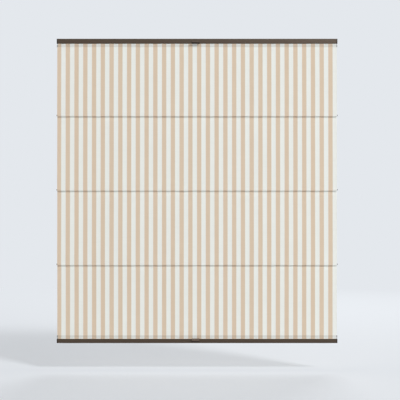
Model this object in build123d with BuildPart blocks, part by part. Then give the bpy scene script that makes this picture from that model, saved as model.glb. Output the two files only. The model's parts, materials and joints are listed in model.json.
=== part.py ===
"""Roman blind: one striped cloth in four panels between two slim rails, guided by two taut cords.

The frame: X runs along the rails, the front faces -Y and Z is up. The origin is midway between the
two upper screw holes, on the face that the upper shoes are screwed to.
"""

import os

from build123d import *

os.makedirs("parts", exist_ok=True)

# Overall sizes
rail_length = 1122.0
seat_height = 1217.5
seat_gap = 0.5
cut_overrun = 1.0

# Rails
rail_depth = 20.0
top_rail_height = 19.2
bottom_rail_height = 17.0
rail_wall = 1.5
rail_front_bulge = 0.4
rail_corner_radius = 0.6
rail_mouth_width = 13.0
keder_wall = 1.2
slot_width = 1.6

# End caps
cap_thickness = 3.0
cap_edge_radius = 0.8
plug_length = 14.0
plug_wall = 1.5
plug_clearance = 0.15

# Grips
grip_width = 30.0
grip_height = 11.0
grip_reach = 12.5
grip_slant_reach = 5.0
grip_shelf_height = 7.0
grip_hollow_depth = 1.2
grip_nose_thickness = 2.4
grip_nose_radius = 0.7
grip_end_radius = 3.0
grip_hook_thickness = 1.2
grip_hook_reach = 2.6
grip_plate_thickness = 1.4
grip_clearance = 0.1
grip_offset = -6.0

# Cloth
cloth_thickness = 0.5
cloth_side_inset = 2.0
cloth_setback = 3.6
cloth_clearance = 0.3
fold_count = 3
fold_pitch = 297.5
fold_rise = 2.0
lip_radius = 0.9
lip_flat = 0.1
lip_overlap = 6.0
wrap_corner_share = 0.45
hem_bend_radius = 20.0
hem_bend_drop = 2.0

# Battens, hem bars and keders
batten_diameter = 4.0
batten_bore = 2.4
tip_diameter = 5.2
tip_length = 2.2
tip_edge_radius = 0.8
tip_peg_length = 8.0
tip_clearance = 0.1
hem_bar_height = 10.0
hem_bar_thickness = 2.0
hem_bar_gap = 3.2
hem_end_inset = 4.4
keder_diameter = 2.6

# Cords and their guides
cord_diameter = 1.4
cord_inset = 51.0
cord_setback = 12.5
cord_clearance = 0.3
cord_entry_clearance = 0.6
guide_length = 16.0
guide_clearance = 0.15
guide_edge_radius = 0.6
crossing_spacing = 3.0
crossing_grip_length = 5.0

# Eyes sewn behind the cloth
eye_wall = 1.6
eye_height = 6.0
eye_arm_width = 3.0
eye_base_width = 14.0
eye_base_height = 10.0
eye_base_thickness = 1.6
eye_base_radius = 2.0
eye_drop = 6.0
stitch_hole_diameter = 1.2
stitch_hole_inset = 2.2

# Screwed shoes and the cord stops
shoe_length = 34.0
shoe_clearance = 0.3
shoe_ear_thickness = 2.0
shoe_ear_chamfer = 0.9
screw_hole_diameter = 4.0
screw_head_diameter = 7.6
screw_to_cord = 17.0
stop_diameter = 3.4
stop_length = 3.4
stop_recess = 0.2
stop_clearance = 0.2

# Places that follow from the sizes
rail_half = rail_length / 2
rail_cut_half = rail_half - cap_thickness
front_y = -rail_depth / 2
back_y = rail_depth / 2
cloth_y = front_y + cloth_setback
cord_y = front_y + cord_setback
cord_x = rail_half - cord_inset
screw_x = cord_x - screw_to_cord
shoe_x = (cord_x + screw_x) / 2
TOP, BOTTOM = 1, -1
rail_height = {TOP: top_rail_height, BOTTOM: bottom_rail_height}
seat_z = {TOP: 0.0, BOTTOM: -seat_height}
face_z = {side: seat_z[side] - side * (seat_gap + rail_height[side]) for side in (TOP, BOTTOM)}
rail_name = {TOP: "top", BOTTOM: "bottom"}
end_name = {-1: "left", 1: "right"}

# The keder loop inside its channel
keder_radius = keder_diameter / 2
loop_inner_radius = keder_radius + cloth_clearance
loop_outer_radius = loop_inner_radius + cloth_thickness
channel_radius = loop_outer_radius + cloth_clearance
keder_rise = keder_wall + channel_radius
chamber_floor = keder_rise + channel_radius + keder_wall
loop_half = rail_half - hem_end_inset
cloth_half = rail_half - cloth_side_inset

# The tucks: a lip at the front, a wrap over the batten behind it
lip_width = 2 * lip_radius + lip_flat
wrap_radius = batten_diameter / 2 + cloth_clearance + cloth_thickness / 2
wrap_width = 2 * wrap_radius
wrap_corner_radius = wrap_corner_share * wrap_width
middle_z = (face_z[TOP] + face_z[BOTTOM]) / 2
fold_steps = [n - (fold_count - 1) / 2 for n in range(fold_count)]
lip_z = [middle_z + fold_rise - step * fold_pitch for step in fold_steps]
wrap_z = [z + lip_overlap for z in lip_z]
batten_y = cloth_y - wrap_radius
batten_z = [z - wrap_radius for z in wrap_z]
batten_half = cloth_half + cloth_clearance
hem_tunnel_height = hem_bar_height + 2 * cloth_clearance
hem_tunnel_depth = hem_bar_thickness + 2 * cloth_clearance
hem_bar_y = cloth_y + cloth_thickness / 2 + hem_tunnel_depth / 2
hem_bar_drop = hem_bar_gap + cloth_thickness + hem_tunnel_height / 2
hem_edge_drop = 2 * hem_bar_drop - hem_bar_gap


def save(builder, name):
    """Labels a finished piece and writes it."""
    builder.part.label = name
    export_step(builder.part, f"parts/{name}.step")


def rail_plane(side, x=0.0):
    """Plane across a rail: its x is the depth, its y the height above the cloth side of the rail."""
    return Plane(origin=(x, 0, face_z[side]), x_dir=(0, 1, 0), z_dir=(side, 0, 0))


def spanning(low, high):
    """Middle and size of a span."""
    return (low + high) / 2, high - low


def block(y_span, v_span):
    """Rectangle between two depths and two heights of a rail's section."""
    middle_y, width = spanning(*y_span)
    middle_v, height = spanning(*v_span)
    with BuildSketch() as shape:
        with Locations((middle_y, middle_v)):
            Rectangle(width, height)
    return shape.sketch


def rail_outline(height):
    """Outer outline of a rail, with a gently bowed front."""
    with BuildSketch() as outline:
        with BuildLine():
            ThreePointArc((front_y, 0), (front_y - rail_front_bulge, height / 2), (front_y, height))
            Polyline((front_y, height), (back_y, height), (back_y, 0), (front_y, 0))
        make_face()
        fillet(outline.vertices(), rail_corner_radius)
    return outline.sketch


def chamber_spans(height):
    """Depth and height of the open chamber on the side of a rail away from the cloth."""
    return (front_y + rail_wall, back_y - rail_wall), (chamber_floor, height - rail_wall)


def cord_channel_spans():
    """Depth and height of the channel behind the keder, where the cords run."""
    return (cloth_y + channel_radius + keder_wall, back_y - rail_wall), (rail_wall, chamber_floor)


def make_rail(side):
    """An extruded rail: chamber with a lipped mouth, cord channel, keder channel and cloth slot."""
    height = rail_height[side]
    mouth = (-rail_mouth_width / 2, rail_mouth_width / 2)
    channel_y, channel_v = cord_channel_spans()
    with BuildPart() as rail:
        with BuildSketch(rail_plane(side)):
            add(rail_outline(height))
            add(block(*chamber_spans(height)), mode=Mode.SUBTRACT)
            add(block(mouth, (chamber_floor, height + cut_overrun)), mode=Mode.SUBTRACT)
            add(block(channel_y, (channel_v[0], channel_v[1] + cut_overrun)), mode=Mode.SUBTRACT)
            with Locations((cloth_y, keder_rise)):
                Circle(channel_radius, mode=Mode.SUBTRACT)
            slot = (cloth_y - slot_width / 2, cloth_y + slot_width / 2)
            add(block(slot, (-cut_overrun, keder_rise)), mode=Mode.SUBTRACT)
        extrude(amount=rail_cut_half, both=True)
        with BuildSketch(Plane.XY.offset(face_z[side])):
            with Locations((-cord_x, cord_y), (cord_x, cord_y)):
                Circle(cord_diameter / 2 + cord_entry_clearance)
        extrude(amount=rail_wall + cut_overrun, both=True, mode=Mode.SUBTRACT)
    save(rail, f"{rail_name[side]}_rail")


def make_end_cap(side, end):
    """A moulded cap: an end plate with the rail's outline, and a hollow plug in the chamber."""
    height = rail_height[side]
    chamber_y, chamber_v = chamber_spans(height)
    plug_y = (chamber_y[0] + plug_clearance, chamber_y[1] - plug_clearance)
    plug_v = (chamber_v[0] + plug_clearance, chamber_v[1] - plug_clearance)
    hollow_y = (plug_y[0] + plug_wall, plug_y[1] - plug_wall)
    hollow_v = (plug_v[0] + plug_wall, plug_v[1] - plug_wall)
    channel_y, channel_v = cord_channel_spans()
    tongue_y = (channel_y[0] + plug_clearance, channel_y[1] - plug_clearance)
    tongue_v = (channel_v[0] + plug_clearance, plug_v[0] + plug_wall)
    outward = end * side
    with BuildPart() as cap:
        with BuildSketch(rail_plane(side, end * rail_cut_half)):
            add(rail_outline(height))
        extrude(amount=outward * cap_thickness)
        outer_face = cap.faces().sort_by(Axis.X)[-1 if end > 0 else 0]
        fillet(outer_face.edges(), cap_edge_radius)
        with BuildSketch(rail_plane(side, end * rail_cut_half)):
            add(block(plug_y, plug_v))
            add(block(tongue_y, tongue_v))
            add(block(hollow_y, hollow_v), mode=Mode.SUBTRACT)
        extrude(amount=-outward * plug_length)
    save(cap, f"{rail_name[side]}_end_cap_{end_name[end]}")


def make_grip(side):
    """A clip-on finger grip: a hook at the cloth side of the rail, a slanted front and a finger hollow."""
    height = rail_height[side]
    nose_y = front_y - grip_reach
    slant_y = front_y - grip_slant_reach
    plate_y = front_y - rail_front_bulge - grip_plate_thickness
    hook_y = front_y + grip_hook_reach
    hook_low = -grip_hook_thickness
    nose_low = grip_shelf_height - grip_nose_thickness
    hollow_at = ((nose_y + plate_y) / 2, grip_shelf_height - grip_hollow_depth)
    with BuildPart() as grip:
        with BuildSketch(rail_plane(side, grip_offset)) as section:
            with BuildLine():
                Polyline((plate_y, grip_height), (hook_y, grip_height), (hook_y, hook_low))
                Polyline((hook_y, hook_low), (slant_y, hook_low), (nose_y, nose_low))
                Line((nose_y, nose_low), (nose_y, grip_shelf_height))
                ThreePointArc((nose_y, grip_shelf_height), hollow_at, (plate_y, grip_shelf_height))
                Line((plate_y, grip_shelf_height), (plate_y, grip_height))
            make_face()
            nose = section.vertices().group_by(Axis.X)[0]
            fillet(nose, grip_nose_radius)
            with BuildSketch(mode=Mode.SUBTRACT):
                add(rail_outline(height))
                offset(amount=grip_clearance)
        extrude(amount=grip_width / 2, both=True)
        plan_y, plan_depth = spanning(nose_y, hook_y)
        with BuildSketch(Plane.XY.offset(face_z[side])) as plan:
            with Locations((grip_offset, plan_y)):
                Rectangle(grip_width, plan_depth)
            fillet(plan.vertices().group_by(Axis.Y)[0], grip_end_radius)
        extrude(amount=height, both=True, mode=Mode.INTERSECT)
    save(grip, f"{rail_name[side]}_grip")


def make_keder(side):
    """The rod that fills the cloth's hem loop inside a rail."""
    with BuildPart() as keder:
        with BuildSketch(rail_plane(side)):
            with Locations((cloth_y, keder_rise)):
                Circle(keder_radius)
        extrude(amount=loop_half, both=True)
    save(keder, f"{rail_name[side]}_keder")


def make_hem_bar(side):
    """The flat bar in the cloth's hem beside a rail."""
    with BuildPart() as bar:
        with BuildSketch(rail_plane(side)) as section:
            with Locations((hem_bar_y, -hem_bar_drop)):
                Rectangle(hem_bar_thickness, hem_bar_height)
            fillet(section.vertices(), hem_bar_thickness / 4)
        extrude(amount=rail_half, both=True)
    save(bar, f"{rail_name[side]}_hem_bar")


def make_cord_guide(side, end):
    """A moulded block in the cord channel, with an upright hole for the cord."""
    channel_y, channel_v = cord_channel_spans()
    guide_y = (channel_y[0] + guide_clearance, channel_y[1] - guide_clearance)
    guide_v = (channel_v[0], channel_v[1] - guide_clearance)
    with BuildPart() as guide:
        with BuildSketch(rail_plane(side, end * cord_x)):
            add(block(guide_y, guide_v))
        extrude(amount=guide_length / 2, both=True)
        fillet(guide.edges().filter_by(Axis.Z), guide_edge_radius)
        with BuildSketch(Plane.XY.offset(face_z[side])):
            with Locations((end * cord_x, cord_y)):
                Circle(cord_diameter / 2 + cord_clearance)
        extrude(amount=side * (channel_v[1] + cut_overrun), mode=Mode.SUBTRACT)
        if side == BOTTOM:
            with BuildSketch(rail_plane(side, end * (cord_x - guide_length / 2))):
                with Locations(*crossing_places()):
                    Circle(cord_diameter / 2 + cord_clearance)
            extrude(amount=end * side * crossing_grip_length, mode=Mode.SUBTRACT)
    save(guide, f"{rail_name[side]}_cord_guide_{end_name[end]}")


def crossing_places():
    """Depth and height of the two cord runs that cross inside the bottom rail."""
    channel_y, channel_v = cord_channel_spans()
    middle_y = (channel_y[0] + channel_y[1]) / 2
    middle_v = (channel_v[0] + channel_v[1]) / 2
    return [(middle_y - crossing_spacing / 2, middle_v), (middle_y + crossing_spacing / 2, middle_v)]


def make_crossing_cords():
    """The two cord runs that cross from end to end inside the bottom rail."""
    run_half = cord_x - guide_length / 2 + crossing_grip_length
    with BuildPart() as cords:
        with BuildSketch(rail_plane(BOTTOM)):
            with Locations(*crossing_places()):
                Circle(cord_diameter / 2)
        extrude(amount=run_half, both=True)
    save(cords, "crossing_cords")


def shoe_inner_z(side):
    """Height of the face of a shoe that looks into the rail."""
    return face_z[side] + side * (chamber_floor + shoe_clearance)


def make_shoe(side, end):
    """A shoe with a screw hole: it takes a cord's end, and the upper ones grip the rail's lips."""
    height = rail_height[side]
    stem_half = rail_mouth_width / 2 - shoe_clearance
    lip_inner = height - rail_wall - shoe_clearance
    ear_half = rail_depth / 2 - rail_wall - shoe_clearance
    ear_low = lip_inner - shoe_ear_thickness
    seat_plane = Plane(origin=(0, 0, seat_z[side]), z_dir=(0, 0, side))
    inner_plane = Plane(origin=(0, 0, shoe_inner_z(side)), z_dir=(0, 0, -side))
    screw_at = inner_plane.to_local_coords(Vector(end * screw_x, 0, shoe_inner_z(side)))
    cord_at = seat_plane.to_local_coords(Vector(end * cord_x, cord_y, seat_z[side]))
    with BuildPart() as shoe:
        with BuildSketch(rail_plane(side, end * shoe_x)):
            add(block((-stem_half, stem_half), (chamber_floor + shoe_clearance, height + seat_gap)))
            if side == TOP:
                add(block((-ear_half, ear_half), (ear_low, lip_inner)))
        extrude(amount=shoe_length / 2, both=True)
        if side == TOP:
            ear_edges = shoe.edges().filter_by(Axis.X)
            chamfer(
                ear_edges.sort_by(Axis.Y)[:2].sort_by(Axis.Z)[:1]
                + ear_edges.sort_by(Axis.Y)[-2:].sort_by(Axis.Z)[:1],
                shoe_ear_chamfer,
            )
        with Locations(inner_plane):
            with Locations(screw_at):
                CounterSinkHole(screw_hole_diameter / 2, screw_head_diameter / 2)
        with Locations(seat_plane):
            with Locations(cord_at):
                CounterBoreHole(
                    cord_diameter / 2 + cord_clearance,
                    stop_diameter / 2 + stop_clearance,
                    stop_length + stop_recess,
                )
    save(shoe, f"{rail_name[side]}_shoe_{end_name[end]}")


def stop_inner_z(side):
    """Height of the face of a cord stop that the cord comes out of."""
    return seat_z[side] - side * (stop_recess + stop_length)


def make_cord_stops(side):
    """The crimped stops on the cords' ends, seated in the shoes."""
    with BuildPart() as stops:
        with BuildSketch(Plane.XY.offset(stop_inner_z(side))):
            with Locations((-cord_x, cord_y), (cord_x, cord_y)):
                Circle(stop_diameter / 2)
        extrude(amount=side * stop_length)
    save(stops, f"{rail_name[side]}_cord_stops")


def make_tension_cord(end):
    """A taut cord from the upper stop, through both rails, to the lower stop."""
    with BuildPart() as cord:
        with BuildSketch(Plane.XY.offset(stop_inner_z(BOTTOM))):
            with Locations((end * cord_x, cord_y)):
                Circle(cord_diameter / 2)
        extrude(amount=stop_inner_z(TOP) - stop_inner_z(BOTTOM))
    save(cord, f"tension_cord_{end_name[end]}")


def make_batten(n):
    """A stiffening tube in a tuck of the cloth."""
    with BuildPart() as batten:
        with BuildSketch(Plane.YZ):
            with Locations((batten_y, batten_z[n])):
                Circle(batten_diameter / 2)
                Circle(batten_bore / 2, mode=Mode.SUBTRACT)
        extrude(amount=batten_half, both=True)
    save(batten, f"batten_{n + 1}")


def make_batten_tips(n):
    """The plugs in both ends of a batten."""
    with BuildPart() as tips:
        for end in end_name:
            with BuildSketch(Plane.YZ.offset(end * batten_half)):
                with Locations((batten_y, batten_z[n])):
                    Circle(tip_diameter / 2)
            extrude(amount=end * tip_length)
            with BuildSketch(Plane.YZ.offset(end * batten_half)):
                with Locations((batten_y, batten_z[n])):
                    Circle(batten_bore / 2 - tip_clearance)
            extrude(amount=-end * tip_peg_length)
        outer_faces = [tips.faces().sort_by(Axis.X)[0], tips.faces().sort_by(Axis.X)[-1]]
        fillet([edge for face in outer_faces for edge in face.edges()], tip_edge_radius)
    save(tips, f"batten_{n + 1}_tips")


def make_batten_eyes(n):
    """The two eyes sewn behind the cloth, which keep a batten on the cords."""
    base_front = cloth_y + cloth_thickness / 2 + cloth_clearance
    base_back = base_front + eye_base_thickness
    ring_inner = cord_diameter / 2 + cord_clearance
    ring_outer = ring_inner + eye_wall
    eye_z = batten_z[n] - eye_drop
    hole_x = eye_base_width / 2 - stitch_hole_inset
    hole_z = eye_base_height / 2 - stitch_hole_inset
    arm_middle, arm_length = spanning(base_front, cord_y)
    with BuildPart() as eyes:
        for end in end_name:
            base_plane = Plane(origin=(end * cord_x, base_front, eye_z), x_dir=(1, 0, 0), z_dir=(0, 1, 0))
            with BuildSketch(base_plane):
                RectangleRounded(eye_base_width, eye_base_height, eye_base_radius)
                with GridLocations(2 * hole_x, 2 * hole_z, 2, 2):
                    Circle(stitch_hole_diameter / 2, mode=Mode.SUBTRACT)
            extrude(amount=base_back - base_front)
            with BuildSketch(Plane.XY.offset(eye_z)):
                with Locations((end * cord_x, arm_middle)):
                    Rectangle(eye_arm_width, arm_length)
                with Locations((end * cord_x, cord_y)):
                    Circle(ring_outer)
                    Circle(ring_inner, mode=Mode.SUBTRACT)
            extrude(amount=eye_height / 2, both=True)
    save(eyes, f"batten_{n + 1}_eyes")


def cloth_path_points():
    """Corner points of the cloth's middle line, from the upper keder loop down to the lower one."""
    wrap_front = cloth_y - wrap_width
    lip_front = wrap_front - lip_width
    hem_end = face_z[TOP] - hem_edge_drop - hem_bend_drop
    points = [(cloth_y, face_z[TOP] + keder_rise - loop_inner_radius), (cloth_y, hem_end)]
    radii = [hem_bend_radius]
    for low, high in zip(lip_z, wrap_z):
        points += [(lip_front, low), (wrap_front, low), (wrap_front, high), (cloth_y, high)]
        radii += [lip_radius, lip_radius, wrap_corner_radius, wrap_corner_radius]
    points.append((cloth_y, face_z[BOTTOM] - keder_rise + loop_inner_radius))
    return points, radii


def make_cloth():
    """The cloth: four panels, three tucks round the battens, two hems and two keder loops."""
    points, radii = cloth_path_points()
    hem_outer_depth = hem_tunnel_depth + 2 * cloth_thickness
    hem_outer_height = hem_tunnel_height + 2 * cloth_thickness
    with BuildPart() as cloth:
        with BuildSketch(Plane.YZ):
            with BuildLine() as path:
                FilletPolyline(*points, radius=radii)
            trace(path.line, line_width=cloth_thickness)
            for side in rail_name:
                with Locations((cloth_y, face_z[side] + side * keder_rise)):
                    Circle(loop_outer_radius)
                    Circle(loop_inner_radius, mode=Mode.SUBTRACT)
                with Locations((hem_bar_y, face_z[side] - side * hem_bar_drop)):
                    Rectangle(hem_outer_depth, hem_outer_height)
                    Rectangle(hem_tunnel_depth, hem_tunnel_height, mode=Mode.SUBTRACT)
            with Locations(*[(batten_y, z - wrap_radius) for z in batten_z]):
                Rectangle(wrap_width, cloth_thickness)
        extrude(amount=cloth_half, both=True)
        for side in rail_name:
            notch_middle, notch_height = spanning(
                face_z[side] - side * (hem_edge_drop + cloth_clearance), seat_z[side]
            )
            with BuildSketch(Plane.XZ.offset(-cloth_y)):
                for end in end_name:
                    notch_x, notch_width = spanning(end * loop_half, end * (cloth_half + cut_overrun))
                    with Locations((notch_x, notch_middle)):
                        Rectangle(abs(notch_width), abs(notch_height))
            extrude(amount=rail_depth / 2, both=True, mode=Mode.SUBTRACT)
    save(cloth, "cloth")
    cut_length = sum(edge.length for edge in path.edges())
    print("cloth, width and length along its middle line:", 2 * cloth_half, cut_length)


for rail_side in rail_name:
    make_rail(rail_side)
    make_grip(rail_side)
    make_keder(rail_side)
    make_hem_bar(rail_side)
    make_cord_stops(rail_side)
    for rail_end in end_name:
        make_end_cap(rail_side, rail_end)
        make_cord_guide(rail_side, rail_end)
        make_shoe(rail_side, rail_end)

for rail_end in end_name:
    make_tension_cord(rail_end)

for number in range(fold_count):
    make_batten(number)
    make_batten_tips(number)
    make_batten_eyes(number)

make_crossing_cords()
make_cloth()
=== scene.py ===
"""Looks of the roman blind: striped cloth in four panels between two slim bronze rails.

The cloth is one sheet on the real blind. Here it is cut into bands across its width, each riding on a body,
so that the tucks stay whole on their battens.
"""

import json
import math
from collections import namedtuple

import bpy
from mathutils import Matrix, Vector, noise


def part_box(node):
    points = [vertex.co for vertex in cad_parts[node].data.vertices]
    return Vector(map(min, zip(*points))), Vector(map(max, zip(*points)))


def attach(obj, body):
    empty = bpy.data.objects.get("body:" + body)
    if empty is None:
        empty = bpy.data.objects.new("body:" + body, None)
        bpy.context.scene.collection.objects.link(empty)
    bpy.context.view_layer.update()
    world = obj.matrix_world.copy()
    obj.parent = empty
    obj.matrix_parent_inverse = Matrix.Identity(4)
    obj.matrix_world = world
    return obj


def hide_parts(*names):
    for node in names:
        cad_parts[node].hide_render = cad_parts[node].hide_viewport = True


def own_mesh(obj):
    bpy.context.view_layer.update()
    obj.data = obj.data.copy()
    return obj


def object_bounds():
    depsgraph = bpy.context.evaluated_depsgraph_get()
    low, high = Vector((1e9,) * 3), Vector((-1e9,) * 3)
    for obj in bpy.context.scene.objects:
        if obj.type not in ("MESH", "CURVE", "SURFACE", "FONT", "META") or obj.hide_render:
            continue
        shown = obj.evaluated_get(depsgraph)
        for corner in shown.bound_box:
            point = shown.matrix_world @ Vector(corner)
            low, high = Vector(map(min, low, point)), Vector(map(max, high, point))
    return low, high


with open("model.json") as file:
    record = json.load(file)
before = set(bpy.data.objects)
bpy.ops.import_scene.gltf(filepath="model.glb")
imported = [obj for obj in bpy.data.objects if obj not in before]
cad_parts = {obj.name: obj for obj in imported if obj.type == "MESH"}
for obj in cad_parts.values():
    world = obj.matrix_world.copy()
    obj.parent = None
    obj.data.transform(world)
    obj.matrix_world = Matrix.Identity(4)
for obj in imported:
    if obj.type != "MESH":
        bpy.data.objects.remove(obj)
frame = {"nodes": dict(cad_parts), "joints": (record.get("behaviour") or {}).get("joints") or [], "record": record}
cad_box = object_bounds()

MM = 0.001

# Cloth, as in the part's source
CLOTH_THICKNESS = 0.5 * MM
CLOTH_CLEARANCE = 0.3 * MM
LIP_DROP = 3.45 * MM
LIP_RADIUS = 0.9 * MM
LIP_WIDTH = 1.9 * MM
WRAP_RADIUS = 2.55 * MM
WRAP_CORNER = 2.295 * MM
HEM_CORNER = 0.9 * MM
SLOT_DEPTH = 1.2 * MM
TUNNEL_WALL = CLOTH_CLEARANCE + CLOTH_THICKNESS

# How far a stiff tuck reaches into the panels above and below its lip
TUCK_ABOVE = 5.0 * MM
TUCK_BELOW = 4.0 * MM

# How each half of a panel folds: a flat band and three bends, squashed along a direction near the upright
FOLD_TILT = 0.25
FOLD_UPRIGHT = math.sqrt(1 - FOLD_TILT ** 2)
FLAT_KEEP = 0.02
BEND_SHARES = (0.050, 0.040, 0.040)
BEND_KEEPS = (0.15, 0.45, 0.98)

# Ripple of the panels: its height, and its waves along the width, from panel to panel and down a panel
RIPPLE_HEIGHT = 0.5 * MM
RIPPLE_WAVES = (3.2, 7.3, 2.0)

# Stripes
STRIPE_PERIOD = 35.0 * MM
BEIGE_CENTRE = 8.15 * MM
BEIGE_SHARE = 0.493
STRIPE_EDGE_SHARE = 0.012
STRIPE_WANDER = 0.35 * MM

# Painted shade where the hem bars block the light through the cloth, and painted light on the single cloth beside
# them
BAR_PAINTED_SHADE = 0.83
STRIP_PAINTED_LIGHT = 1.15

# Painted shade: a grip's colour is darker below its nose, where it lies in shade
GRIP_SHELF_HEIGHT = 7.0 * MM
GRIP_NOSE_THICKNESS = 2.4 * MM
UNDER_NOSE_PAINTED_SHADE = 0.4

# Soft edge of those bands of painted shade and painted light, to each side
BAND_BLUR = 0.6 * MM

# Fine textures: their pitches, and how high they stand
THREAD_PITCH = 1.3 * MM
THREAD_HEIGHT = 0.12 * MM
BRAID_PITCH = 1.1 * MM
BRAID_HEIGHT = 0.15 * MM
BRAID_SLANT = 3.0
DRAWING_HEIGHT = 0.05 * MM
SCRATCH_HEIGHT = 0.04 * MM
GRAIN_HEIGHT = 0.04 * MM

# Stitches: each ring lies at a share of the length and has a share of the girth
STITCH_PITCH = 4.2 * MM
STITCH_LENGTH = 3.0 * MM
STITCH_THICKNESS = 0.4 * MM
STITCH_MARGIN = 4.0 * MM
STITCH_RING_SHARES = ((-0.5, 0.35), (-0.3, 1.0), (0.3, 1.0), (0.5, 0.35))

# Mesh fineness
COLUMNS = 96
ARC_STEPS = 6
LOOP_STEPS = 24
STITCH_SIDES = 6
PANEL_STEP = 20 * MM
SHARP_ANGLE = math.radians(50)
MITRE_LIMIT = 0.5

# Stage: far from the blind the floor fades from the first share of the backdrop's glow to the second
FLOOR_DROP = 0.11
FLOOR_HALF = 14.0
FLOOR_GLOW_SHARES = (0.45, 1.0)
FLOOR_FADE = (1.8, 4.5)
WORLD_STRENGTH = 0.21
LAMP_AIM = (0, 0, -0.6)
CAMERA_SENSOR = 36.0
CAMERA_LENS = 101.35
CAMERA_PLACE = (0.01165, -4.511, -0.645)

# How far each body rises when the bottom rail is up
travel = next(j for j in frame["joints"] if j["name"] == "bottom_rail_slide")["range_m"][1]
rise = {"head": 0.0, "bottom_rail": travel}
for coupling in frame["record"]["behaviour"]["couplings"]:
    rise[coupling["joint"].removesuffix("_slide")] = coupling["ratio"] * travel

# What holds the cloth on each body, and where the cloth meets the rails and their keders
battens = ["batten_1", "batten_2", "batten_3"]
top_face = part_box("top_rail")[0].z
bottom_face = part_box("bottom_rail")[1].z
cloth_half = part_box("cloth")[1].x
loop_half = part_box("top_keder")[1].x
cloth_y = sum(corner.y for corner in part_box("top_keder")) / 2


def rgb(red, green, blue):
    """Linear colour of an sRGB one."""
    def linear(value):
        value /= 255
        return value / 12.92 if value <= 0.04045 else ((value + 0.055) / 1.055) ** 2.4

    return linear(red), linear(green), linear(blue), 1.0


OFF_WHITE = rgb(237, 238, 232)
BEIGE = rgb(219, 198, 174)
WHITE = rgb(255, 255, 255)
BACKDROP = rgb(228, 232, 237)


# Materials


class Nodes:
    """A node tree, with short ways to add nodes to it."""

    def __init__(self, tree):
        self.tree = tree

    def node(self, kind, **settings):
        made = self.tree.nodes.new(kind)
        for key, value in settings.items():
            setattr(made, key, value)
        return made

    def feed(self, socket, value):
        """Links an output to a socket, or sets the socket to a constant."""
        if isinstance(value, bpy.types.NodeSocket):
            self.tree.links.new(value, socket)
        else:
            socket.default_value = value

    def math(self, operation, first, second=0.0, third=0.0):
        made = self.node("ShaderNodeMath", operation=operation)
        for socket, value in zip(made.inputs, (first, second, third)):
            self.feed(socket, value)
        return made.outputs[0]

    def glow(self, kind, colour, strength=1.0):
        """Light of one colour, from an emission or a background node."""
        made = self.node(kind)
        made.inputs["Color"].default_value = colour
        made.inputs["Strength"].default_value = strength
        return made.outputs[0]

    def either(self, share, first, second):
        """The first shader where the share is zero, and the second where it is one."""
        made = self.node("ShaderNodeMixShader")
        for socket, value in zip(made.inputs, (share, first, second)):
            self.feed(socket, value)
        return made.outputs[0]


class Shader(Nodes):
    """A new material with a Principled shader."""

    def __init__(self, name, roughness, metallic=0.0):
        self.material = bpy.data.materials.new(name)
        self.material.use_nodes = True
        super().__init__(self.material.node_tree)
        self.bsdf = self.tree.nodes["Principled BSDF"]
        self.set(Roughness=roughness, Metallic=metallic)
        self.place = self.node("ShaderNodeTexCoord").outputs["Object"]

    def set(self, **values):
        for key, value in values.items():
            self.feed(self.bsdf.inputs[key.replace("_", " ")], value)

    def colour(self, value):
        self.set(Base_Color=value)

    def axes(self):
        made = self.node("ShaderNodeSeparateXYZ")
        self.feed(made.inputs[0], self.place)
        return made.outputs

    def stretched(self, per_metre):
        """Coordinates that count the given numbers of cells per metre along X, Y and Z."""
        made = self.node("ShaderNodeVectorMath", operation="MULTIPLY")
        self.feed(made.inputs[0], self.place)
        made.inputs[1].default_value = per_metre
        return made.outputs[0]

    def noise(self, per_metre, detail=2.0):
        made = self.node("ShaderNodeTexNoise")
        self.feed(made.inputs["Vector"], self.stretched(per_metre))
        made.inputs["Scale"].default_value = 1.0
        made.inputs["Detail"].default_value = detail
        return made.outputs["Fac"]

    def spread(self, value, low, high, start=0.0, end=1.0):
        """A value's range from start to end, mapped to low to high."""
        made = self.node("ShaderNodeMapRange")
        for socket, number in zip(made.inputs, (value, start, end, low, high)):
            self.feed(socket, number)
        return made.outputs[0]

    def around(self, value, middle, reach):
        """A value's range from zero to one, mapped to both sides of a middle."""
        return self.spread(value, middle - reach, middle + reach)

    def tone(self, per_metre, reach, detail=2.0):
        """A value near one that differs from cell to cell."""
        return self.around(self.noise(per_metre, detail), 1.0, reach)

    def band(self, value, start, end):
        """One between start and end, with soft edges, and zero elsewhere."""
        above = self.spread(value, 0.0, 1.0, start - BAND_BLUR, start + BAND_BLUR)
        below = self.spread(value, 1.0, 0.0, end - BAND_BLUR, end + BAND_BLUR)
        return self.math("MULTIPLY", above, below)

    def wave(self, value, pitch):
        """A sine wave of the given pitch."""
        return self.math("SINE", self.math("MULTIPLY", value, 2 * math.pi / pitch))

    def mix(self, share, first, second):
        """The first colour where the share is zero, and the second where it is one."""
        made = self.node("ShaderNodeMix", data_type="RGBA")
        self.feed(made.inputs["Factor"], share)
        for socket, value in zip([s for s in made.inputs if s.type == "RGBA"], (first, second)):
            self.feed(socket, value)
        return next(s for s in made.outputs if s.type == "RGBA")

    def scaled(self, colour, value):
        """A colour made darker or lighter by a value near one."""
        made = self.node("ShaderNodeVectorMath", operation="SCALE")
        self.feed(made.inputs[0], colour[:3] if isinstance(colour, tuple) else colour)
        self.feed(made.inputs["Scale"], value)
        return made.outputs[0]

    def bump(self, height, strength, distance):
        made = self.node("ShaderNodeBump")
        made.inputs["Strength"].default_value = strength
        made.inputs["Distance"].default_value = distance
        self.feed(made.inputs["Height"], height)
        self.set(Normal=made.outputs["Normal"])


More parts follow.
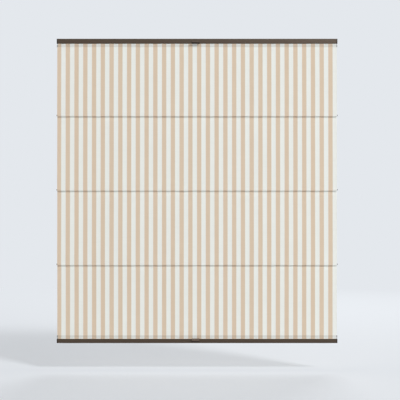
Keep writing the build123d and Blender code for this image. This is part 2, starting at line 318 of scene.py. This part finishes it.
def cloth_material(name):
    """Plain weave with off-white and beige stripes, and painted shade and light beside the rails, where the hem
    bars block the light through the cloth.
    """
    shader = Shader(name, roughness=0.88)
    x, _, z = shader.axes()

    # Stripes, with edges that wander by a thread
    wander = shader.around(shader.noise(per_metre=(40, 40, 420)), middle=0.0, reach=STRIPE_WANDER)
    along = shader.math("ADD", x, wander)
    turns = shader.math("MULTIPLY_ADD", along, 1 / STRIPE_PERIOD, 0.5 - BEIGE_CENTRE / STRIPE_PERIOD)
    off_centre = shader.math("ABSOLUTE", shader.math("SUBTRACT", shader.math("FRACT", turns), 0.5))
    inner, outer = BEIGE_SHARE / 2 - STRIPE_EDGE_SHARE, BEIGE_SHARE / 2 + STRIPE_EDGE_SHARE
    colour = shader.mix(shader.spread(off_centre, 1.0, 0.0, inner, outer), OFF_WHITE, BEIGE)

    # Thread by thread differences of warp and weft
    warp = shader.tone(per_metre=(820, 40, 9), reach=0.035, detail=3.0)
    weft = shader.tone(per_metre=(14, 40, 760), reach=0.03, detail=3.0)
    cloud = shader.tone(per_metre=(7, 7, 5), reach=0.015)
    tone = shader.math("MULTIPLY", shader.math("MULTIPLY", warp, weft), cloud)

    # Painted shade: each hem bar's band is darker, where the bar blocks the light through the cloth; painted light
    # makes the strip of single cloth between it and the rail lighter
    for bar, face in (("top_hem_bar", top_face), ("bottom_hem_bar", bottom_face)):
        low, high = (corner.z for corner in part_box(bar))
        edges = sorted((low, high, face))
        for start, end in zip(edges, edges[1:]):
            shade = BAR_PAINTED_SHADE if (start, end) == (low, high) else STRIP_PAINTED_LIGHT
            tone = shader.math("MULTIPLY", tone, shader.spread(shader.band(z, start, end), 1.0, shade))
    shader.colour(shader.scaled(colour, tone))

    # Over and under of the threads, and thicker places in the weft
    weave = shader.math("MULTIPLY", shader.wave(x, THREAD_PITCH), shader.wave(z, THREAD_PITCH))
    slub = shader.around(shader.noise(per_metre=(30, 40, 900)), middle=0.0, reach=0.8)
    shader.bump(shader.math("ADD", weave, slub), strength=0.35, distance=THREAD_HEIGHT)
    shader.set(Sheen_Weight=0.15, Sheen_Roughness=0.5)
    return shader.material


def anodised_material(name, colour, roughness):
    """Anodised extrusion, with fine drawing lines along its length."""
    shader = Shader(name, roughness, metallic=0.3)
    lines = shader.noise(per_metre=(3, 2600, 2600), detail=3.0)
    patches = shader.tone(per_metre=(14, 60, 60), reach=0.05)
    tone = shader.math("ADD", shader.around(lines, middle=0.0, reach=0.06), patches)
    shader.colour(shader.scaled(colour, tone))
    shader.set(Roughness=shader.spread(lines, low=roughness - 0.06, high=roughness + 0.08))
    shader.bump(lines, strength=0.12, distance=DRAWING_HEIGHT)
    return shader.material


def plastic_material(name, colour, roughness, gloss=0.5, painted_shade_bands=()):
    """Moulded plastic with a fine spark-eroded grain, with painted shade in the given bands of height."""
    shader = Shader(name, roughness)
    grain = shader.noise(per_metre=(2200, 2200, 2200))
    tone = shader.tone(per_metre=(50, 50, 50), reach=0.07, detail=3.0)
    # Painted shade: darker in each band, below a grip's nose where it lies in its own shade
    for start, end in painted_shade_bands:
        band = shader.band(shader.axes()[2], start, end)
        tone = shader.math("MULTIPLY", tone, shader.spread(band, 1.0, UNDER_NOSE_PAINTED_SHADE))
    shader.colour(shader.scaled(colour, tone))
    shader.set(Roughness=shader.around(grain, middle=roughness, reach=0.07), Specular_IOR_Level=gloss)
    shader.bump(grain, strength=0.3, distance=GRAIN_HEIGHT)
    return shader.material


def metal_material(name, colour, roughness):
    """Plain drawn metal with faint scratches along X."""
    shader = Shader(name, roughness, metallic=1.0)
    lines = shader.noise(per_metre=(12, 1800, 1800), detail=3.0)
    shader.colour(shader.scaled(colour, shader.around(lines, middle=1.0, reach=0.1)))
    shader.set(Roughness=shader.spread(lines, low=roughness - 0.08, high=roughness + 0.1))
    shader.bump(lines, strength=0.15, distance=SCRATCH_HEIGHT)
    return shader.material


def cord_material(name, colour):
    """Fine round braid, as crossing diagonal ridges."""
    shader = Shader(name, roughness=0.7)
    x, y, z = shader.axes()
    spin = shader.math("MULTIPLY", shader.math("ADD", x, y), BRAID_SLANT)
    rising = shader.wave(shader.math("ADD", z, spin), BRAID_PITCH)
    falling = shader.wave(shader.math("SUBTRACT", z, spin), BRAID_PITCH)
    braid = shader.math("MAXIMUM", rising, falling)
    shader.colour(shader.scaled(colour, shader.spread(braid, low=0.86, high=1.03, start=-1.0)))
    shader.bump(braid, strength=0.5, distance=BRAID_HEIGHT)
    shader.set(Sheen_Weight=0.2)
    return shader.material


def painted_shade_below_noses():
    """Heights from below each grip to the lower edge of its nose, where shade is painted."""
    nose_low = {
        "top_grip": top_face + GRIP_SHELF_HEIGHT - GRIP_NOSE_THICKNESS,
        "bottom_grip": bottom_face - GRIP_SHELF_HEIGHT,
    }
    return [(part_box(grip)[0].z - 2 * BAND_BLUR, end) for grip, end in nose_low.items()]


CLOTH = cloth_material("cloth_weave")
BRONZE = anodised_material("rail_bronze", rgb(73, 59, 45), roughness=0.38)
BAR = anodised_material("bar_aluminium", rgb(160, 159, 156), roughness=0.5)
CAP = plastic_material("cap_plastic", rgb(30, 25, 22), roughness=0.65, gloss=0.1)
# The grips get painted shade below their noses
GRIP = plastic_material(
    "grip_plastic", rgb(100, 86, 76), roughness=0.5, gloss=0.15, painted_shade_bands=painted_shade_below_noses(),
)
TUBE = metal_material("batten_aluminium", rgb(176, 176, 174), roughness=0.35)
GUIDE = plastic_material("guide_plastic", rgb(226, 226, 222), roughness=0.42)
SHOE = plastic_material("shoe_plastic", rgb(214, 214, 210), roughness=0.48)
KEDER = plastic_material("keder_plastic", rgb(196, 194, 188), roughness=0.4)
BRAID = cord_material("cord_braid", rgb(228, 226, 216))
BRASS = metal_material("stop_brass", rgb(196, 164, 96), roughness=0.3)
THREAD = cord_material("stitch_thread", rgb(232, 228, 218))

LOOKS = {
    "rail_bronze": BRONZE,
    "cap_plastic": CAP,
    "grip_plastic": GRIP,
    "cloth_weave": CLOTH,
    "bar_aluminium": BAR,
    "batten_aluminium": TUBE,
    "keder_plastic": KEDER,
    "cord_braid": BRAID,
    "guide_plastic": GUIDE,
    "shoe_plastic": SHOE,
    "stop_brass": BRASS,
}


def dress(obj, material):
    """Gives an object one material."""
    obj.data.materials.clear()
    obj.data.materials.append(material)


for subpart in frame["record"]["subparts"]:
    dress(frame["nodes"][subpart["node"]], LOOKS[subpart["material_slot"]])


# Cloth bands


def rounded(corners, radii):
    """Points of a (y, z) line with its inner corners rounded."""
    points = [Vector(corners[0])]
    for before, corner, after, radius in zip(corners, corners[1:], corners[2:], radii):
        corner = Vector(corner)
        back = (Vector(before) - corner).normalized()
        on = (Vector(after) - corner).normalized()
        half = back.angle(on) / 2
        reach = radius / math.tan(half)
        centre = corner + (back + on).normalized() * radius / math.sin(half)
        start, end = corner + back * reach - centre, corner + on * reach - centre
        sweep = start.angle_signed(end)
        steps = max(1, round(ARC_STEPS * abs(sweep) / (math.pi / 2)))
        for step in range(steps + 1):
            turned = start.copy()
            turned.rotate(Matrix.Rotation(-sweep * step / steps, 2))
            points.append(centre + turned)
    points.append(Vector(corners[-1]))
    return points


def offset_line(points, distance):
    """The line moved sideways, with mitred corners."""
    moved = []
    for index, point in enumerate(points):
        ahead = points[min(index + 1, len(points) - 1)] - points[max(index - 1, 0)]
        first = (point - points[index - 1]).normalized() if index else ahead.normalized()
        last = (points[index + 1] - point).normalized() if index + 1 < len(points) else ahead.normalized()
        normal = Vector((first.y + last.y, -(first.x + last.x))).normalized()
        stretch = max(MITRE_LIMIT, normal.dot(Vector((first.y, -first.x))))
        moved.append(point + normal * distance / stretch)
    return moved


def add_slab(vertices, faces, points, half, ripple=None):
    """A thin slab along a (y, z) line, over the blind's width, as vertices and faces."""
    base = len(vertices)
    layers = [offset_line(points, CLOTH_THICKNESS / 2), offset_line(points, -CLOTH_THICKNESS / 2)]
    count = len(points)
    for column in range(COLUMNS + 1):
        x = half * (2 * column / COLUMNS - 1)
        for layer in layers:
            for index, point in enumerate(layer):
                shift = ripple(x, index) if ripple else 0.0
                vertices.append((x, point.x + shift, point.y))
    row = len(layers) * count

    def at(column, layer, index):
        return base + column * row + layer * count + index

    # Front and back, then the rims along the width, then the two sides
    for column in range(COLUMNS):
        for index in range(count - 1):
            faces.append((at(column, 0, index), at(column, 0, index + 1),
                          at(column + 1, 0, index + 1), at(column + 1, 0, index)))
            faces.append((at(column, 1, index), at(column + 1, 1, index),
                          at(column + 1, 1, index + 1), at(column, 1, index + 1)))
        for index, flip in ((0, False), (count - 1, True)):
            rim = (at(column, 0, index), at(column + 1, 0, index),
                   at(column + 1, 1, index), at(column, 1, index))
            faces.append(rim[::-1] if flip else rim)
    for column, flip in ((0, False), (COLUMNS, True)):
        for index in range(count - 1):
            side = (at(column, 0, index), at(column, 1, index),
                    at(column, 1, index + 1), at(column, 0, index + 1))
            faces.append(side[::-1] if flip else side)


def make_mesh(name, vertices, faces, material):
    """A new smooth object, sharp only at its edges."""
    mesh = bpy.data.meshes.new(name)
    mesh.from_pydata(vertices, [], faces)
    mesh.validate()
    mesh.polygons.foreach_set("use_smooth", [True] * len(mesh.polygons))
    mesh.set_sharp_from_angle(angle=SHARP_ANGLE)
    obj = bpy.data.objects.new(name, mesh)
    bpy.context.scene.collection.objects.link(obj)
    dress(obj, material)
    return obj


def make_band(name, lines, body, half=cloth_half, ripple=None):
    """One band of the cloth, from one or more (y, z) lines, riding on a body."""
    vertices, faces = [], []
    for points in lines:
        add_slab(vertices, faces, points, half, ripple)
    band = make_mesh(name, vertices, faces, CLOTH)
    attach(band, body)
    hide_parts("cloth")
    return band


# Corner points of a tuck as (y, z), and the height of the web sewn under its batten
Tuck = namedtuple("Tuck", "lip_front lip_back wrap_front wrap_back web_z")


def find_tuck(batten):
    """The tuck that goes round a batten."""
    low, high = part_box(batten)
    middle_y, middle_z = (low.y + high.y) / 2, (low.z + high.z) / 2
    front, rear = middle_y - WRAP_RADIUS, middle_y + WRAP_RADIUS
    lip_z, wrap_z = middle_z - LIP_DROP, middle_z + WRAP_RADIUS
    return Tuck(
        lip_front=(front - LIP_WIDTH, lip_z),
        lip_back=(front, lip_z),
        wrap_front=(front, wrap_z),
        wrap_back=(rear, wrap_z),
        web_z=wrap_z - 2 * WRAP_RADIUS,
    )


def point_at(line, z):
    """The point of a straight (y, z) line at a height."""
    start, end = Vector(line[0]), Vector(line[1])
    return start.lerp(end, (z - start.y) / (end.y - start.y))


# The edges of the hems that look at the panels
hem_edge = {
    "top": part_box("top_hem_bar")[0].z - TUNNEL_WALL,
    "bottom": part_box("bottom_hem_bar")[1].z + TUNNEL_WALL,
}

# The straight panel lines, from the top of each panel to its foot
tucks = [find_tuck(name) for name in battens]
panel_tops = [(cloth_y, hem_edge["top"])] + [tuck.wrap_back for tuck in tucks]
panel_feet = [tuck.lip_front for tuck in tucks] + [(cloth_y, hem_edge["bottom"])]
panel_lines = list(zip(panel_tops, panel_feet))
panel_bodies = list(zip(["head"] + battens, battens + ["bottom_rail"]))

# The heights where the folding part of each panel starts and ends
lip_heights = [tuck.lip_front[1] for tuck in tucks]
fold_starts = [hem_edge["top"]] + [lip_z - TUCK_BELOW for lip_z in lip_heights]
fold_ends = [lip_z + TUCK_ABOVE for lip_z in lip_heights] + [hem_edge["bottom"]]


def panel_ripple(number, height_shares):
    """How far a panel's points stand off its plane, by x and by the point's number on its line."""
    along, between, down = RIPPLE_WAVES

    def ripple(x, index):
        height_share = height_shares[index]
        wave = noise.noise((x * along, number * between, height_share * down))
        return RIPPLE_HEIGHT * math.sin(math.pi * height_share) * wave

    return ripple


def fold_panel(number):
    """The folding part of a panel, as bands in two halves, each riding on the body at its own end."""
    line, (upper, lower) = panel_lines[number], panel_bodies[number]
    start, end = point_at(line, fold_starts[number]), point_at(line, fold_ends[number])
    down = end - start
    lean = FOLD_TILT * -down.x
    drop = FOLD_UPRIGHT * -down.y
    middle_share = (drop + lean) / (2 * drop)

    # The bends are just wide enough that the flat band and the bends gather by what the rise needs
    gathered = (rise[lower] - rise[upper]) / (2 * FOLD_UPRIGHT)
    needed = gathered / (middle_share * (drop - lean))
    spare = 1 - FLAT_KEEP - needed
    usual = sum(share * (keep - FLAT_KEEP) for share, keep in zip(BEND_SHARES, BEND_KEEPS))
    bends = [share * spare / usual for share in BEND_SHARES]
    shares = [1 - sum(bends)] + bends
    keeps = [FLAT_KEEP] + list(BEND_KEEPS)

    # Each half goes from its own end of the panel to the middle, where the two meet
    for half_name, body, origin, to_middle, normal in (
        ("upper", upper, 0.0, middle_share, Vector((0, FOLD_TILT, -FOLD_UPRIGHT))),
        ("lower", lower, 1.0, middle_share - 1, Vector((0, FOLD_TILT, FOLD_UPRIGHT))),
    ):
        done, moved, made = 0.0, 0.0, []
        for index, (share, keep) in enumerate(zip(shares, keeps)):
            first, last = origin + to_middle * done, origin + to_middle * (done + share)
            low_share, high_share = sorted((first, last))
            steps = max(1, round((high_share - low_share) * down.length / PANEL_STEP))
            height_shares = [low_share + (high_share - low_share) * n / steps for n in range(steps + 1)]
            points = [start + down * height_share for height_share in height_shares]
            name = f"cloth_panel_{number + 1}_{half_name}_{index + 1}"
            band = make_band(name, [points], body, ripple=panel_ripple(number, height_shares))
            made.append(band)

            # Each band gets its own mesh, and the tally of how far the bands so far would move grows
            span = down * (last - first)
            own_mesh(band)
            moved += Vector((0, span.x, span.y)).dot(normal) * (1 - keep)
            done += share


def make_tuck(number):
    """The stiff tuck round a batten: lip, wrap and the web sewn under the batten."""
    tuck = tucks[number]
    above = point_at(panel_lines[number], fold_ends[number])
    below = point_at(panel_lines[number + 1], fold_starts[number + 1])
    corners = [tuple(above), tuck.lip_front, tuck.lip_back, tuck.wrap_front, tuck.wrap_back, tuple(below)]
    wrap = rounded(corners, [LIP_RADIUS, LIP_RADIUS, WRAP_CORNER, WRAP_CORNER])
    web = [Vector((tuck.wrap_front[0], tuck.web_z)), Vector((tuck.wrap_back[0], tuck.web_z))]
    band = make_band(f"cloth_tuck_{number + 1}", [wrap, web], battens[number])


def make_hem(name, face, away, body):
    """The cloth beside a rail, with the second layer that holds the hem bar, and the loop in the rail.

    The panels lie above the rail where away is 1, and below it where away is -1.
    """
    slot_z = face - away * SLOT_DEPTH
    front = [Vector((cloth_y, z)) for z in sorted((slot_z, hem_edge[name]), reverse=True)]
    around = CLOTH_CLEARANCE + CLOTH_THICKNESS / 2
    low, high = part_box(f"{name}_hem_bar")
    seam, rear = cloth_y + CLOTH_THICKNESS, high.y + around
    bottom, top = low.z - around, high.z + around
    back = rounded([(seam, top), (rear, top), (rear, bottom), (seam, bottom)], [HEM_CORNER, HEM_CORNER])

    keder_low, keder_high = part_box(f"{name}_keder")
    loop_z = (keder_low.z + keder_high.z) / 2
    loop_radius = (keder_high.z - keder_low.z) / 2 + around
    loop = [Vector((cloth_y, slot_z))]
    for step in range(1, LOOP_STEPS):
        angle = 2 * math.pi * step / LOOP_STEPS
        outwards = away * loop_radius * math.cos(angle)
        loop.append(Vector((cloth_y + loop_radius * math.sin(angle), loop_z + outwards)))

    for part, line, held_by in (
        ("hem", front, "rail"),
        ("hem_back", back, "hem_bar"),
        ("loop", loop, "keder"),
    ):
        band = make_band(f"cloth_{name}_{part}", [line], body, half=loop_half)


for panel in range(len(panel_lines)):
    fold_panel(panel)
for tuck_number in range(len(tucks)):
    make_tuck(tuck_number)
make_hem("top", top_face, -1, "head")
make_hem("bottom", bottom_face, 1, "bottom_rail")


# Stitches on the back


def make_stitches(name, y, z, body):
    """A row of stitches along X on the cloth's back."""
    vertices, faces = [], []
    count = int(2 * (cloth_half - STITCH_MARGIN) / STITCH_PITCH)
    for stitch in range(count):
        middle = (stitch - (count - 1) / 2) * STITCH_PITCH
        first_ring = len(vertices)
        for length_share, girth_share in STITCH_RING_SHARES:
            x = middle + length_share * STITCH_LENGTH
            radius = STITCH_THICKNESS / 2 * girth_share
            for side in range(STITCH_SIDES):
                angle = 2 * math.pi * side / STITCH_SIDES
                vertices.append((x, y + radius * math.cos(angle), z + radius * math.sin(angle)))
        last_ring = len(vertices) - STITCH_SIDES
        for ring in range(first_ring, last_ring, STITCH_SIDES):
            for side in range(STITCH_SIDES):
                a, b = ring + side, ring + (side + 1) % STITCH_SIDES
                faces.append((a, b, b + STITCH_SIDES, a + STITCH_SIDES))
        faces.append(tuple(first_ring + side for side in reversed(range(STITCH_SIDES))))
        faces.append(tuple(last_ring + side for side in range(STITCH_SIDES)))
    row = make_mesh(name, vertices, faces, THREAD)
    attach(row, body)


# One row holds each web under its batten
for number, batten in enumerate(battens):
    seam_z = tucks[number].web_z
    seam_y = point_at(panel_lines[number + 1], seam_z).x + CLOTH_THICKNESS / 2
    make_stitches(f"tuck_{number + 1}_stitches", seam_y, seam_z, batten)

# One row closes each hem, midway between its tunnel and the rail
hem_rows = {
    "top": ((top_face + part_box("top_hem_bar")[1].z + TUNNEL_WALL) / 2, "head"),
    "bottom": ((bottom_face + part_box("bottom_hem_bar")[0].z - TUNNEL_WALL) / 2, "bottom_rail"),
}
for name, (row_z, body) in hem_rows.items():
    make_stitches(f"{name}_hem_stitches", cloth_y + CLOTH_THICKNESS / 2, row_z, body)


# Stage


def floor_material():
    """Matte and pale; it fades into the backdrop far from the blind, and from below it is clear."""
    shader = Shader("floor", roughness=0.9)
    shader.colour(BACKDROP)
    reach = shader.node("ShaderNodeVectorMath", operation="LENGTH")
    shader.feed(reach.inputs[0], shader.place)
    far = shader.spread(reach.outputs["Value"], *FLOOR_GLOW_SHARES, *FLOOR_FADE)
    seen = shader.math("MULTIPLY", far, shader.node("ShaderNodeLightPath").outputs["Is Camera Ray"])
    glow = shader.glow("ShaderNodeEmission", BACKDROP)
    faded = shader.either(seen, shader.bsdf.outputs[0], glow)
    from_below = shader.node("ShaderNodeNewGeometry").outputs["Backfacing"]
    clear = shader.node("ShaderNodeBsdfTransparent").outputs[0]
    output = shader.tree.nodes["Material Output"]
    shader.feed(output.inputs["Surface"], shader.either(from_below, faded, clear))
    return shader.material


def make_floor():
    floor_z = cad_box[0].z - FLOOR_DROP
    signs = ((-1, -1), (1, -1), (1, 1), (-1, 1))
    corners = [(x * FLOOR_HALF, y * FLOOR_HALF, floor_z) for x, y in signs]
    floor = make_mesh("floor", corners, [(0, 1, 2, 3)], floor_material())


def make_world():
    """Even pale light; the camera and reflections see the backdrop instead."""
    world = bpy.data.worlds.new("studio")
    bpy.context.scene.world = world
    world.use_nodes = True
    world.node_tree.nodes.clear()
    graph = Nodes(world.node_tree)
    ambient = graph.glow("ShaderNodeBackground", WHITE, WORLD_STRENGTH)
    backdrop = graph.glow("ShaderNodeBackground", BACKDROP)
    rays = graph.node("ShaderNodeLightPath").outputs
    mirrored = graph.math("MAXIMUM", rays["Is Glossy Ray"], rays["Is Transmission Ray"])
    seen = graph.math("MAXIMUM", rays["Is Camera Ray"], mirrored)
    output = graph.node("ShaderNodeOutputWorld")
    graph.feed(output.inputs["Surface"], graph.either(seen, ambient, backdrop))


def make_lamp(name, place, aim, size, power):
    lamp = bpy.data.lights.new(name, "AREA")
    lamp.shape = "RECTANGLE"
    lamp.size, lamp.size_y = size
    lamp.energy = power
    obj = bpy.data.objects.new(name, lamp)
    obj.location = place
    obj.rotation_euler = (Vector(aim) - Vector(place)).to_track_quat("-Z", "Y").to_euler()
    bpy.context.scene.collection.objects.link(obj)


def make_camera():
    """Straight in front, as far away as the photograph's perspective suggests."""
    camera = bpy.data.cameras.new("camera")
    camera.sensor_width = CAMERA_SENSOR
    camera.lens = CAMERA_LENS
    obj = bpy.data.objects.new("camera", camera)
    obj.location = CAMERA_PLACE
    obj.rotation_euler = (math.radians(90), 0, 0)
    bpy.context.scene.collection.objects.link(obj)
    bpy.context.scene.camera = obj


make_floor()
make_world()
make_lamp("key", place=(19.2, -23.2, 21.8), aim=LAMP_AIM, size=(7.2, 7.2), power=8480)
make_lamp("fill", place=(-6.5, -7.2, 0.2), aim=LAMP_AIM, size=(4.0, 4.0), power=72)
make_lamp("front", place=(1.6, -5.2, 0.75), aim=(0.3, 0, -0.4), size=(1.2, 0.8), power=33)
make_lamp("back", place=(1.4, 5.0, 2.4), aim=LAMP_AIM, size=(3.0, 3.0), power=185)
make_camera()
bpy.context.scene.view_settings.view_transform = "Standard"
